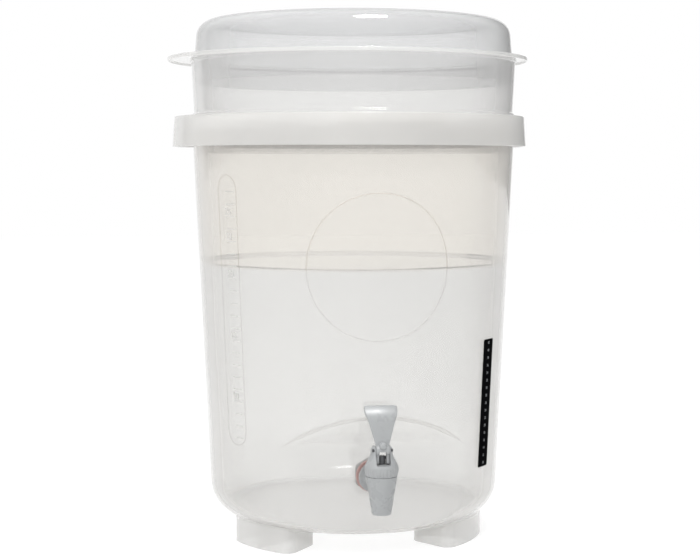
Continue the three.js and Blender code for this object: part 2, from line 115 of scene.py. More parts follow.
def remap(tree, value, low, high, to_low, to_high, smooth=True):
    settings = {"interpolation_type": "SMOOTHSTEP" if smooth else "LINEAR"}
    node = new_node(tree, "ShaderNodeMapRange", settings)
    tree.links.new(value, node.inputs["Value"])
    for name, number in (("From Min", low), ("From Max", high), ("To Min", to_low), ("To Max", to_high)):
        node.inputs[name].default_value = number
    return node.outputs["Result"]


def mixed(tree, share, first, second, kind="FLOAT"):
    """A number, or with RGBA a colour, that goes from the first to the second by a share."""
    node = new_node(tree, "ShaderNodeMix", {"data_type": kind})
    low, high, result = (2, 3, 0) if kind == "FLOAT" else (6, 7, 2)
    feed(tree, node.inputs[0], share)
    feed(tree, node.inputs[low], first)
    feed(tree, node.inputs[high], second)
    return node.outputs[result]


def mixed_shader(tree, share, first, second):
    node = new_node(tree, "ShaderNodeMixShader")
    feed(tree, node.inputs[0], share)
    feed(tree, node.inputs[1], first.outputs[0])
    feed(tree, node.inputs[2], second.outputs[0])
    return node


def camera_and_mirror_rays(tree):
    rays = new_node(tree, "ShaderNodeLightPath")
    mirrored = calculate(tree, "ADD", rays.outputs["Is Glossy Ray"], rays.outputs["Is Transmission Ray"])
    return rays.outputs["Is Camera Ray"], mirrored


def empty_material(name):
    material = bpy.data.materials.new(name)
    material.use_nodes = True
    material.node_tree.nodes.clear()
    return material, material.node_tree


def finish_material(tree, shader):
    tree.links.new(shader.outputs[0], new_node(tree, "ShaderNodeOutputMaterial").inputs["Surface"])


paper_to_left = math.radians(46)
paper_to_right = math.radians(-18)
paper_light = 1.0
beside_paper = 0.4
room_light = 0.9
right_of_room = 0.75
room_turn = math.radians(125)
soft_edge = 0.01
world = bpy.data.worlds.new("white_studio")
world.use_nodes = True
bpy.context.scene.world = world
sky = world.node_tree
sky.nodes.clear()
direction = new_node(sky, "ShaderNodeTexCoord").outputs["Generated"]
level = new_node(sky, "ShaderNodeVectorMath", {"operation": "MULTIPLY"})
level.inputs[1].default_value = (1, 1, 0)
sky.links.new(direction, level.inputs[0])
heading = new_node(sky, "ShaderNodeVectorMath", {"operation": "NORMALIZE"})
sky.links.new(level.outputs[0], heading.inputs[0])


def along(direction):
    share = new_node(sky, "ShaderNodeVectorMath", {"operation": "DOT_PRODUCT"})
    share.inputs[1].default_value = direction
    sky.links.new(heading.outputs[0], share.inputs[0])
    return share.outputs["Value"]


straight_on = along((-math.sin(camera_azimuth), math.cos(camera_azimuth), 0))
to_left = along((-math.cos(camera_azimuth), -math.sin(camera_azimuth), 0))
turn = calculate(sky, "ARCTAN2", to_left, straight_on)
left_end = remap(sky, turn, paper_to_left - soft_edge, paper_to_left + soft_edge, 1, 0)
right_end = remap(sky, turn, paper_to_right - soft_edge, paper_to_right + soft_edge, 0, 1)
on_paper = calculate(sky, "MULTIPLY", left_end, right_end)
aside = calculate(sky, "ABSOLUTE", turn)
room = remap(sky, aside, paper_to_left, room_turn, beside_paper, room_light)
room = calculate(sky, "MULTIPLY", room, remap(sky, to_left, -1, 0, right_of_room, 1))
lit_room = mixed(sky, on_paper, room, paper_light)
to_camera, mirrored = camera_and_mirror_rays(sky)
mirrored_paper = calculate(sky, "MULTIPLY", mirrored, on_paper)
shown = mixed(sky, calculate(sky, "ADD", to_camera, mirrored_paper), lit_room, 1.0)
background = new_node(sky, "ShaderNodeBackground", Color=(1, 1, 1, 1))
sky.links.new(shown, background.inputs["Strength"])
sky.links.new(background.outputs[0], new_node(sky, "ShaderNodeOutputWorld").inputs["Surface"])


def softbox(name, place, aim, width, height, energy):
    data = bpy.data.lights.new(name, "AREA")
    data.shape = "RECTANGLE"
    data.size = width
    data.size_y = height
    data.energy = energy
    lamp = bpy.data.objects.new(name, data)
    bpy.context.scene.collection.objects.link(lamp)
    lamp.location = place
    lamp.rotation_euler = (Vector(aim) - Vector(place)).to_track_quat("-Z", "Y").to_euler()
    return lamp


bucket_middle = (axis_x, axis_y, 0.28)
collar_middle = (axis_x, axis_y, 0.45)
key_softbox = softbox("key_softbox", (-1.7, -1.2, 1.3), bucket_middle, width=1.8, height=2.2, energy=17)
key_softbox.visible_glossy = False
softbox("top_softbox", (0.12, -0.75, 1.7), collar_middle, width=0.42, height=0.28, energy=14)

floor_half = 7
floor_white = 0.86
floor_glow = 0.62
floor_glow_strength = 1.25
floor_mesh = bpy.data.meshes.new("floor")
floor_corners = [(floor_half * x, floor_half * y, 0) for x, y in ((-1, -1), (1, -1), (1, 1), (-1, 1))]
floor_mesh.from_pydata(floor_corners, [], [(0, 1, 2, 3)])
floor = bpy.data.objects.new("floor", floor_mesh)
bpy.context.scene.collection.objects.link(floor)
floor_paint, tree = empty_material("white_floor")
matt = new_node(tree, "ShaderNodeBsdfDiffuse", Color=(floor_white, floor_white, floor_white, 1))
glow = new_node(tree, "ShaderNodeEmission", Color=(1, 1, 1, 1), Strength=floor_glow_strength)
looked_at = calculate(tree, "MINIMUM", calculate(tree, "ADD", *camera_and_mirror_rays(tree)), 1)
glow_share = calculate(tree, "MULTIPLY", looked_at, floor_glow)
finish_material(tree, mixed_shader(tree, glow_share, matt, glow))
floor.data.materials.append(floor_paint)


# The vessel: one moulded shell of frosted polythene, 2.2 mm thick, with its grip band folded out round
# the mouth and a flat panel sunk into the front for the tap. The plastic lets the light from behind
# through, and its fine haze spreads it.
mm = 0.001
brew_level = 288 * mm


def on_object(tree):
    """The place on the object itself, which textures follow."""
    return new_node(tree, "ShaderNodeTexCoord").outputs["Object"]


def noise(tree, **values):
    texture = new_node(tree, "ShaderNodeTexNoise", **values)
    tree.links.new(on_object(tree), texture.inputs["Vector"])
    return texture.outputs["Fac"]


def height_on_object(tree):
    parts = new_node(tree, "ShaderNodeSeparateXYZ")
    tree.links.new(on_object(tree), parts.inputs[0])
    return parts.outputs["Z"]


def follow(tree, texture, low, high):
    """A number from low to high that follows a noise, most of which lies near its middle."""
    return remap(tree, texture, 0.3, 0.7, low, high)


def mottled(tree, cloud, colour):
    """The plastic's colour, a little darker and paler in the clouds that the melt leaves."""
    darker = (*[0.97 * part for part in colour], 1)
    paler = (*[min(1, 1.02 * part) for part in colour], 1)
    return mixed(tree, follow(tree, cloud, 0, 1), darker, paler, "RGBA")


def plastic_surface(tree, colour, cloud, grain, roughness, spread, strength, distance, **values):
    """The shader of a moulded skin, whose gloss varies by the spread and whose fine grain is raised."""
    bump = new_node(tree, "ShaderNodeBump", Strength=strength, Distance=distance)
    tree.links.new(grain, bump.inputs["Height"])
    surface = new_node(tree, "ShaderNodeBsdfPrincipled", **values)
    tree.links.new(colour, surface.inputs["Base Color"])
    gloss = follow(tree, cloud, roughness - spread, roughness + spread)
    tree.links.new(gloss, surface.inputs["Roughness"])
    tree.links.new(bump.outputs[0], surface.inputs["Normal"])
    return surface


def frosted_plastic(name, colour, haze, edge_haze, dry, wet=None, edge_shade=0.8):
    """dry is the colour that the light keeps on its way through, and wet the same below the brew's
    surface, where less of it is lost."""
    material, tree = empty_material(name)
    cloud = noise(tree, Scale=9.0, Detail=3.0, Roughness=0.5)
    grain = noise(tree, Scale=420.0, Detail=2.0)
    slant = new_node(tree, "ShaderNodeLayerWeight", Blend=0.5).outputs["Facing"]
    # Painted shade: the plastic's colour is scaled darker towards the edges that turn edge-on to the
    # view, down to the given share at grazing.
    edge_shaded = new_node(tree, "ShaderNodeVectorMath", {"operation": "SCALE"})
    tree.links.new(mottled(tree, cloud, colour), edge_shaded.inputs[0])
    tree.links.new(remap(tree, slant, 0.5, 1.0, 1, edge_shade), edge_shaded.inputs["Scale"])
    surface = plastic_surface(
        tree, edge_shaded.outputs[0], cloud, grain, roughness=0.14, spread=0.04, strength=0.12, distance=0.0002,
        IOR=1.5, Specular_IOR_Level=0.0)
    through = new_node(tree, "ShaderNodeBsdfTranslucent")
    tree.links.new(edge_shaded.outputs[0], through.inputs["Color"])
    milk = mixed_shader(tree, 0.5, surface, through)
    above_brew = remap(tree, height_on_object(tree), brew_level - 1 * mm, brew_level + 1 * mm, 0, 1)
    kept = mixed(tree, above_brew, (*(wet or dry), 1), (*dry, 1), "RGBA")
    clear = new_node(tree, "ShaderNodeBsdfTransparent")
    tree.links.new(kept, clear.inputs["Color"])
    frosted = mixed_shader(tree, remap(tree, slant, 0.25, 1.0, haze, edge_haze), clear, milk)
    polish = new_node(tree, "ShaderNodeBsdfGlossy", Color=(1, 1, 1, 1), Roughness=0.07)
    mirroring = remap(tree, calculate(tree, "POWER", slant, 5), 0, 1, 0.04, 1, smooth=False)
    finish_material(tree, mixed_shader(tree, mirroring, frosted, polish))
    return material


def rounded(corners, steps=4):
    """Points along a line of corners, each a tuple (radius, height, rounding, ...) with further values
    that are carried along. A corner with a rounding is softened over that distance on both sides."""
    points = []
    for i, corner in enumerate(corners):
        size = corner[2]
        if size == 0:
            points.append((corner[0], corner[1], *corner[3:]))
            continue
        here = Vector(corner[:2])
        before = Vector(corners[i - 1][:2])
        after = Vector(corners[(i + 1) % len(corners)][:2])
        start = here + (before - here).normalized() * min(size, (before - here).length / 2)
        end = here + (after - here).normalized() * min(size, (after - here).length / 2)
        for step in range(steps + 1):
            t = step / steps
            spot = start * (1 - t) ** 2 + here * 2 * t * (1 - t) + end * t ** 2
            points.append((spot.x, spot.y, *corner[3:]))
    return points


def stretch(first, last, longest):
    """Points from first to last, with the last left out, no further apart than longest."""
    count = max(1, math.ceil(math.dist(first[:2], last[:2]) / longest))
    return [tuple(a + (b - a) * i / count for a, b in zip(first, last)) for i in range(count)]


def finish_mesh(name, verts, faces, material, smooth_angle=35):
    mesh = bpy.data.meshes.new(name)
    mesh.from_pydata(verts, [], faces)
    work = bmesh.new()
    work.from_mesh(mesh)
    bmesh.ops.remove_doubles(work, verts=work.verts, dist=0.000002)
    bmesh.ops.recalc_face_normals(work, faces=work.faces)
    work.to_mesh(mesh)
    work.free()
    mesh.shade_smooth()
    mesh.set_sharp_from_angle(angle=math.radians(smooth_angle))
    mesh.materials.append(material)
    piece = bpy.data.objects.new(name, mesh)
    bpy.context.scene.collection.objects.link(piece)
    return piece


def around(columns):
    return [2 * math.pi * i / columns for i in range(columns)]


def round_place(point, angle):
    return point[0] * math.cos(angle), point[0] * math.sin(angle), point[1]


def turned(name, points, angles, material, place=round_place, closed=True):
    """A body turned about the bucket's axis. points start and end on the axis, or make a closed loop.
    place says where a point goes at an angle."""
    verts = []
    rows = []
    for point in points:
        on_axis = point[0] == 0
        rows.append([len(verts)] if on_axis else list(range(len(verts), len(verts) + len(angles))))
        for angle in angles[:1] if on_axis else angles:
            x, y, z = place(point, angle)
            verts.append((axis_x + x, axis_y + y, z))
    faces = []
    pairs = list(zip(rows, rows[1:])) + ([(rows[-1], rows[0])] if closed else [])
    for low, high in pairs:
        for i in range(len(angles)):
            j = (i + 1) % len(angles)
            if len(low) == 1 and len(high) > 1:
                faces.append((low[0], high[j], high[i]))
            elif len(high) == 1 and len(low) > 1:
                faces.append((low[i], low[j], high[0]))
            elif len(low) > 1:
                faces.append((low[i], low[j], high[j], high[i]))
    return finish_mesh(name, verts, faces, material)


foot_height = 21 * mm
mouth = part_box("vessel")[1].z
wall = 2.2 * mm
floor_thickness = 2.6 * mm
base_radius = 151.3 * mm
wall_taper = 0.0467
base_fillet = 36 * mm
panel_front = 125 * mm
panel_top = foot_height + 91 * mm
panel_blend = 2.5 * mm
band_depth = 31.5 * mm
band_wall = 2.4 * mm
band_draft = 2 * mm
band_reach = 5 * mm
band_lobe_left = 13.2 * mm
band_lobe_right = 4.9 * mm
tap_height = foot_height + 59.5 * mm
fine_up_to = 160 * mm
fine_rows = 2.5 * mm
coarse_rows = 12 * mm
arc_steps = 22
floor_shares = (0, 0.25, 0.5, 0.75, 0.9)
front_share = 0.3
inner_slope_shift = 0.4


def wall_radius(z):
    return base_radius + wall_taper * (z - foot_height)


def softer_least(a, b, blend_size):
    return (a + b - math.sqrt((a - b) ** 2 + blend_size ** 2)) / 2


def widening(left, right, angle):
    """How far an oval rim stands out from its round at an angle: on both sides, more on the left."""
    across = math.cos(angle)
    return (left if across < 0 else right) * across ** 2


def vessel_place(point, angle):
    """Where a point of the vessel's section goes: widened at the sides if it is oval, as the band is, and
    never in front of the tap panel, whose top slopes forwards to meet the wall in an arch. A point's last
    value is how far it is inside the outer face."""
    radius, z, oval, inset = point
    radius += oval * widening(band_lobe_left, band_lobe_right, angle)
    facing = -math.sin(angle)
    if facing > front_share and oval == 0:
        above = z - panel_top - inset * inner_slope_shift
        slope = (above + math.sqrt(above ** 2 + panel_blend ** 2)) / 2
        limit = (panel_front - inset + slope) / facing
        radius = softer_least(radius, limit, panel_blend)
    return radius * math.cos(angle), radius * math.sin(angle), z


def inside_line(top, inset):
    """The hollow's section from a height on the wall down to the axis, this far inside the outer face."""
    floor_height = foot_height + floor_thickness + inset - wall
    fillet = base_fillet - inset
    turn = floor_height + fillet
    centre = wall_radius(turn) - inset - fillet
    start = (wall_radius(top) - inset, top, 0, inset)
    middle = (wall_radius(fine_up_to) - inset, fine_up_to, 0, inset)
    line = stretch(start, middle, coarse_rows)
    line += stretch(middle, (centre + fillet, turn, 0, inset), fine_rows)
    for i in range(arc_steps + 1):
        angle = math.radians(-90 * i / arc_steps)
        line.append((centre + fillet * math.cos(angle), turn + fillet * math.sin(angle), 0, inset))
    for share in reversed(floor_shares):
        line.append((centre * share, floor_height, 0, inset))
    return line


def vessel_section():
    fillet_turn = foot_height + base_fillet
    fillet_centre = wall_radius(fillet_turn) - base_fillet
    band_out = wall_radius(mouth) + band_reach
    underside = mouth - band_wall
    outer = [(fillet_centre * share, foot_height, 0, 0) for share in floor_shares]
    for i in range(arc_steps):
        turn = math.radians(-90 + 90 * i / arc_steps)
        radius = fillet_centre + base_fillet * math.cos(turn)
        outer.append((radius, fillet_turn + base_fillet * math.sin(turn), 0, 0))
    arch_top = (wall_radius(fine_up_to), fine_up_to, 0, 0)
    outer += stretch((wall_radius(fillet_turn), fillet_turn, 0, 0), arch_top, fine_rows)
    outer += stretch(arch_top, (wall_radius(underside), underside, 0, 0), coarse_rows)
    rim = rounded([
        (wall_radius(underside), underside, 1.2 * mm, 0, 0),
        (band_out - band_wall, underside, 1.5 * mm, 1, 0),
        (band_out + band_draft - band_wall, mouth - band_depth, 0.8 * mm, 1, 0),
        (band_out + band_draft, mouth - band_depth, 0.8 * mm, 1, 0),
        (band_out, mouth, 1.6 * mm, 1, 0),
        (wall_radius(mouth) - wall, mouth, 0, 0, wall),
    ])[5:]
    return outer + rim + inside_line(mouth, wall)[1:]


def combine(piece, tool, operation):
    """Joins the tool's shape to the piece or takes it away, for good, and throws the tool away."""
    modifier = piece.modifiers.new("combine", "BOOLEAN")
    modifier.operation = operation
    modifier.solver = "EXACT"
    modifier.object = tool
    bpy.context.view_layer.update()
    ready = piece.evaluated_get(bpy.context.evaluated_depsgraph_get())
    mesh = bpy.data.meshes.new_from_object(ready)
    piece.modifiers.clear()
    piece.data = mesh
    mesh.set_sharp_from_angle(angle=math.radians(35))
    bpy.data.objects.remove(tool)


def rod(name, start, end, radius, material, columns=48):
    """A plain round rod between two points, for cutting holes with."""
    start, end = Vector(start), Vector(end)
    turn = (end - start).to_track_quat("Z", "Y")
    verts = []
    for spot in (start, end):
        for angle in around(columns):
            verts.append(spot + turn @ Vector((radius * math.cos(angle), radius * math.sin(angle), 0)))
    faces = [(i, (i + 1) % columns, columns + (i + 1) % columns, columns + i) for i in range(columns)]
    faces += [tuple(reversed(range(columns))), tuple(range(columns, 2 * columns))]
    return finish_mesh(name, verts, faces, material)


tap_bore = 12.25 * mm
through_dry_wall = (0.972, 0.962, 0.945)
through_wet_wall = (0.99, 0.989, 0.985)
vessel_plastic = frosted_plastic(
    "frosted_vessel_plastic", (0.95, 0.935, 0.91), 0.13, 0.5, through_dry_wall, through_wet_wall)
milky_plastic = frosted_plastic(
    "milky_vessel_plastic", (0.94, 0.935, 0.925), 0.5, 0.8, (0.97, 0.97, 0.965))
vessel = turned("vessel_shell", vessel_section(), around(264), vessel_plastic, vessel_place, closed=False)
bore_front = (axis_x, axis_y - 0.14, tap_height)
bore_back = (axis_x, axis_y - 0.11, tap_height)
combine(vessel, rod("bore", bore_front, bore_back, tap_bore, vessel_plastic), "DIFFERENCE")
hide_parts("vessel")
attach(vessel, "bucket")


# The feet: three hollow pads, moulded in one with the vessel's base. One is behind and one on each side
# of the tap. They are open underneath, and each has a rib across it.
foot_outer = 137.5 * mm
foot_inner = 84 * mm
foot_half_angle = 19.5
foot_corner = 11 * mm
foot_wall = 2.6 * mm
foot_angles = {"rear": 90, "left": -90 - 55.5, "right": -90 + 55.5}
foot_arc_steps = 10
into_base = 1.1 * mm
rib_steps = 12
rib_chamfer = 0.8 * mm
rib_lift = 0.1 * mm


def underside_height(radius):
    """The height of the vessel's underside at a radius: flat, then round the fillet towards the wall."""
    turn = foot_height + base_fillet
    centre = wall_radius(turn) - base_fillet
    if radius <= centre:
        return foot_height
    return turn - math.sqrt(max(0, base_fillet ** 2 - (radius - centre) ** 2))


def bow(centre, radius, start, end, steps):
    """Points (x, y) on an arc of a circle, with both angles in degrees."""
    points = []
    for i in range(steps + 1):
        angle = math.radians(start + (end - start) * i / steps)
        points.append((centre[0] + radius * math.cos(angle), centre[1] + radius * math.sin(angle)))
    return points


def foot_outline(middle, inset):
    """The outline of a foot, an arc-shaped pad with rounded corners, shrunk evenly by an inset."""
    corner = foot_corner - inset
    outer = foot_outer - foot_corner
    inner = foot_inner + foot_corner
    outer_turn = foot_half_angle - math.degrees(math.asin(foot_corner / outer))
    inner_turn = foot_half_angle - math.degrees(math.asin(foot_corner / inner))
    side = foot_half_angle + 90

    def turn_at(radius, turn, start, end):
        angle = math.radians(middle + turn)
        centre = (radius * math.cos(angle), radius * math.sin(angle))
        return bow(centre, corner, middle + start, middle + end, foot_arc_steps)

    def rim(radius, turn):
        return bow((0, 0), radius, middle - turn, middle + turn, foot_arc_steps)[1:-1]

    return (
        rim(foot_outer - inset, outer_turn)
        + turn_at(outer, outer_turn, outer_turn, side)
        + turn_at(inner, inner_turn, side, 180 + inner_turn)
        + rim(foot_inner + inset, -inner_turn)
        + turn_at(inner, -inner_turn, 180 - inner_turn, 360 - side)
        + turn_at(outer, -outer_turn, 360 - side, 360 - outer_turn)
    )


def woven(name, rows, material, wrap=True):
    """A skin over rows of points, each a ring. The last row joins the first, or the ends are capped."""
    count = len(rows[0])
    verts = [point for row in rows for point in row]
    faces = []
    for r in range(len(rows) if wrap else len(rows) - 1):
        here, there = r * count, (r + 1) % len(rows) * count
        for i in range(count):
            j = (i + 1) % count
            faces.append((here + i, here + j, there + j, there + i))
    if not wrap:
        faces.append(tuple(reversed(range(count))))
        faces.append(tuple(range((len(rows) - 1) * count, len(rows) * count)))
    return finish_mesh(name, verts, faces, material)


def foot_skirt(name, middle):
    # Each level: how far in from the outline, how high, and whether that is from the vessel's underside
    levels = [(-1.4 * mm, into_base, True), (-0.5 * mm, -0.6 * mm, True), (0, -2.4 * mm, True)]
    levels += [(0, 1.0 * mm, False), (0.3 * mm, 0.3 * mm, False), (1.0 * mm, 0, False)]
    levels += [(foot_wall - 1.0 * mm, 0, False), (foot_wall - 0.3 * mm, 0.3 * mm, False)]
    levels += [(foot_wall, 1.0 * mm, False), (foot_wall, into_base, True)]
    rows = []
    for inset, height, from_base in levels:
        row = []
        for x, y in foot_outline(middle, inset):
            base = underside_height(math.hypot(x, y)) if from_base else 0
            row.append((axis_x + x, axis_y + y, base + height))
        rows.append(row)
    return woven(name, rows, vessel_plastic)


def foot_rib(name, middle):
    along = Vector((math.cos(math.radians(middle)), math.sin(math.radians(middle)), 0))
    across = Vector((-along.y, along.x, 0))
    half = foot_wall / 2
    start = foot_inner + half
    rows = []
    for i in range(rib_steps + 1):
        radius = start + (foot_outer - half - start) * i / rib_steps
        top = underside_height(radius) + into_base
        edges = [(-half, top), (-half, rib_chamfer), (-0.6 * half, rib_lift)]
        edges += [(-side, height) for side, height in reversed(edges)]
        middle_spot = Vector((axis_x, axis_y, 0)) + along * radius
        rows.append([middle_spot + across * side + Vector((0, 0, height)) for side, height in edges])
    return woven(name, rows, vessel_plastic, wrap=False)


for side_name, middle in foot_angles.items():
    foot = foot_skirt("foot_" + side_name, middle)
    combine(foot, foot_rib("rib_" + side_name, middle), "UNION")
    combine(vessel, foot, "UNION")

# The band and the feet are thicker and so milkier than the wall
vessel.data.materials.append(milky_plastic)
for polygon in vessel.data.polygons:
    centre = polygon.center
    radius = math.hypot(centre.x - axis_x, centre.y - axis_y)
    on_band = centre.z > mouth - band_depth - 1 * mm and radius > wall_radius(centre.z) + 1 * mm
    on_foot = centre.z < foot_height - 0.5 * mm
    if on_band or on_foot:
        polygon.material_index = 1


# The rounded edge of the tap panel, where its slope meets the wall in an arch: a low soft bead moulded
# with the wall. It fades out where the arch comes down to the panel's sides.
bead_half_width = 2.0 * mm
bead_half_height = 1.1 * mm
bead_sunk = 0.5 * mm
bead_steps = 90
bead_fade = 12
bead_sides = 16
arch_rounds = 6
arch_half_angle = math.acos(panel_front / wall_radius(panel_top))

bead_path = []
for i in range(bead_steps + 1):
    turn = arch_half_angle * (2 * i / bead_steps - 1)
    height = panel_top
    for _ in range(arch_rounds):
        height = panel_top + wall_radius(height) * math.cos(turn) - panel_front
    angle = turn - math.pi / 2
    x, y, z = vessel_place((wall_radius(height), height, 0, 0), angle)
    outwards = Vector((math.cos(angle), math.sin(angle), 0))
    outwards = (outwards + Vector((0, -1, -1)).normalized()).normalized()
    bead_path.append((Vector((axis_x + x, axis_y + y, z)), outwards))
bead_rows = []
for i, (spot, outwards) in enumerate(bead_path):
    along = (bead_path[min(i + 1, bead_steps)][0] - bead_path[max(i - 1, 0)][0]).normalized()
    across = along.cross(outwards).normalized()
    fade = min(1, (min(i, bead_steps - i) + 1) / bead_fade)
    row = []
    for side in around(bead_sides):
        sideways = across * bead_half_width * math.cos(side)
        outward = outwards * (bead_half_height * math.sin(side) - bead_sunk)
        row.append(spot + (sideways + outward) * fade - outwards * bead_half_height * (1 - fade) * 0.5)
    bead_rows.append(row)
panel_edge = woven("panel_edge", bead_rows, vessel_plastic, wrap=False)
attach(panel_edge, "bucket")


# The litre scale and the round badge on the front, both raised lines and figures moulded on the wall. The
# badge is left plain inside its ring.
def wall_point(azimuth, across, z, out):
    """A point so far across from an upright line on the wall, and so far out from the wall."""
    angle = math.radians(azimuth) + across / wall_radius(z)
    radius = wall_radius(z) + out
    return Vector((axis_x + radius * math.cos(angle), axis_y + radius * math.sin(angle), z))


def ridge(azimuth, path, width, height, closed=True):
    """Verts and faces of a half-round line on the wall along a path of points (across, z)."""
    root = 0.15 * mm
    arc = 6
    shape = [(-width / 2, -root)]
    for i in range(arc + 1):
        turn = math.pi * (1 - i / arc)
        shape.append((width / 2 * math.cos(turn), height * math.sin(turn)))
    shape.append((width / 2, -root))
    verts, faces = [], []
    count = len(shape)
    for i, (across, z) in enumerate(path):
        before = path[i - 1] if closed or i > 0 else path[i]
        after = path[(i + 1) % len(path)] if closed or i < len(path) - 1 else path[i]
        along = Vector((after[0] - before[0], after[1] - before[1])).normalized()
        for side, out in shape:
            verts.append(wall_point(azimuth, across + along.y * side, z - along.x * side, out))
    for i in range(len(path) if closed else len(path) - 1):
        here, there = i * count, (i + 1) % len(path) * count
        for j in range(count):
            k = (j + 1) % count
            faces.append((here + j, here + k, there + k, there + j))
    if not closed:
        faces.append(tuple(reversed(range(count))))
        faces.append(tuple(range((len(path) - 1) * count, len(path) * count)))
    return verts, faces


def figures(text, size, thickness):
    """Verts and faces of a plain number about the origin, upright along +Y and facing +Z."""
    curve = bpy.data.curves.new("figures", "FONT")
    curve.body = text
    curve.size = size
    curve.extrude = thickness / 2
    curve.align_x = "CENTER"
    curve.align_y = "CENTER"
    curve.resolution_u = 3
    letters = bpy.data.objects.new("figures", curve)
    bpy.context.scene.collection.objects.link(letters)
    bpy.context.view_layer.update()
    mesh = bpy.data.meshes.new_from_object(letters.evaluated_get(bpy.context.evaluated_depsgraph_get()))
    verts = [vert.co.copy() for vert in mesh.vertices]
    faces = [tuple(face.vertices) for face in mesh.polygons]
    bpy.data.objects.remove(letters)
    bpy.data.curves.remove(curve)
    bpy.data.meshes.remove(mesh)
    return verts, faces


def figures_on_wall(text, size, thickness, azimuth, across, z, out):
    verts, faces = figures(text, size, thickness)
    return [wall_point(azimuth, across + vert.x, z + vert.y, out + vert.z) for vert in verts], faces


def gathered(name, parts, material):
    """One piece from several lots of verts and faces."""
    verts, faces = [], []
    for part_verts, part_faces in parts:
        start = len(verts)
        verts += part_verts
        faces += [tuple(start + i for i in face) for face in part_faces]
    return finish_mesh(name, verts, faces, material)


scale_azimuth = -148
scale_half_width = 14.5 * mm
scale_top = 381 * mm
scale_bottom = 108 * mm
scale_line = 1.3 * mm
scale_relief = 0.7 * mm
ten_litres = 157 * mm
litre = 12.42 * mm
side_step = 12 * mm
side_steps = 20
tick_below_figures = 3.6 * mm
tick_left = -1.4 * mm
tick_step = 2 * mm
tick_points = 7
tick_line = 1.1 * mm
tick_relief = 0.6 * mm
figure_size = 9.5 * mm
figure_relief = 1 * mm
figure_right = 1 * mm
figure_up = 1.2 * mm
figure_out = 0.1 * mm


def litre_height(litres):
    return ten_litres + (litres - 10) * litre


round_end = bow((0, scale_top - scale_half_width), scale_half_width, 0, 180, 24)
lower_end = bow((0, scale_bottom + scale_half_width), scale_half_width, 180, 360, 24)
side_heights = [scale_bottom + scale_half_width + side_step * i for i in range(1, side_steps)]
right_side = [(scale_half_width, height) for height in side_heights]
left_side = [(-x, z) for x, z in reversed(right_side)]
scale_outline = round_end + left_side + lower_end + right_side
scale_parts = [ridge(scale_azimuth, scale_outline, scale_line, scale_relief)]
tick_parts = []
for litres in range(7, 28):
    height = litre_height(litres) - tick_below_figures
    tick = [(tick_left + tick_step * i, height) for i in range(tick_points)]
    tick_parts.append(ridge(scale_azimuth, tick, tick_line, tick_relief, closed=False))
for litres in (10, 15, 20, 23, 25):
    height = litre_height(litres) + figure_up
    tick_parts.append(figures_on_wall(
        str(litres), figure_size, figure_relief, scale_azimuth, figure_right, height, figure_out))
for part_name, parts, plastic in (
        ("litre_scale_frame", scale_parts, vessel_plastic), ("litre_marks", tick_parts, milky_plastic)):
    moulded = gathered(part_name, parts, plastic)
    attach(moulded, "bucket")

badge_height = 292 * mm
badge_radius = 72 * mm
badge_line = 1.6 * mm
badge_relief = 0.45 * mm
badge_path = [(across, badge_height + up) for across, up in bow((0, 0), badge_radius, 0, 360, 120)[:-1]]
badge_ridge = ridge(-90, badge_path, badge_line, badge_relief)
badge_ring = gathered("badge_ring", [badge_ridge], vessel_plastic)
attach(badge_ring, "bucket")


# The tap's body: a grey polypropylene moulding, with a barrel that narrows to the spout, a neck, a round
# flange that bears on the wall, and a threaded shank that goes through it.
def moulded_plastic(name, colour, roughness, texture=0.06, shine=0.5, bending=1.49):
    material, tree = empty_material(name)
    flow = noise(tree, Scale=60.0, Detail=3.0, Roughness=0.55)
    grain = noise(tree, Scale=1400.0, Detail=2.0)
    surface = plastic_surface(
        tree, mottled(tree, flow, colour), flow, grain, roughness, spread=0.05, strength=texture,
        distance=0.0001, IOR=bending, Specular_IOR_Level=shine)
    finish_material(tree, surface)
    return material


barrel_y = -panel_front - 50 * mm
barrel_top = tap_height + 10.5 * mm
thread_top = barrel_top + 7.5 * mm
spout_bottom = tap_height - 27 * mm
spout_radius = 9.3 * mm
spout_wall = 1.9 * mm
barrel_radius = 15.4 * mm
thread_radius = 12 * mm
chamber_radius = 9.6 * mm
valve_seat = tap_height - 12 * mm
seat_hole = 5.6 * mm
seat_thickness = 2 * mm
shank_radius = 12 * mm
shank_bore = 6.5 * mm
neck_radius = 9.5 * mm
flange_radius = 15 * mm
flange_plate = 3.5 * mm
flange_back = -panel_front - 3 * mm
panel_back = -panel_front + wall
shank_end = panel_back + 17.5 * mm
shank_thread_start = panel_back + 4 * mm
neck_front = barrel_y + 11 * mm
inlet_reach = 14 * mm


def barrel_place(point, angle):
    return point[0] * math.cos(angle), barrel_y + point[0] * math.sin(angle), point[1]


def shank_place(point, angle):
    return point[0] * math.cos(angle), point[1], tap_height + point[0] * math.sin(angle)


def thread(radius, start, end, pitch, depth):
    """Corners of a row of rounded ridges, each (radius, place along, rounding)."""
    corners = []
    for i in range(int(abs(end - start) / pitch)):
        crest = start + math.copysign(pitch, end - start) * (i + 0.5)
        trough = start + math.copysign(pitch, end - start) * (i + 1)
        corners += [(radius, crest, pitch * 0.3), (radius - depth, trough, pitch * 0.3)]
    return corners


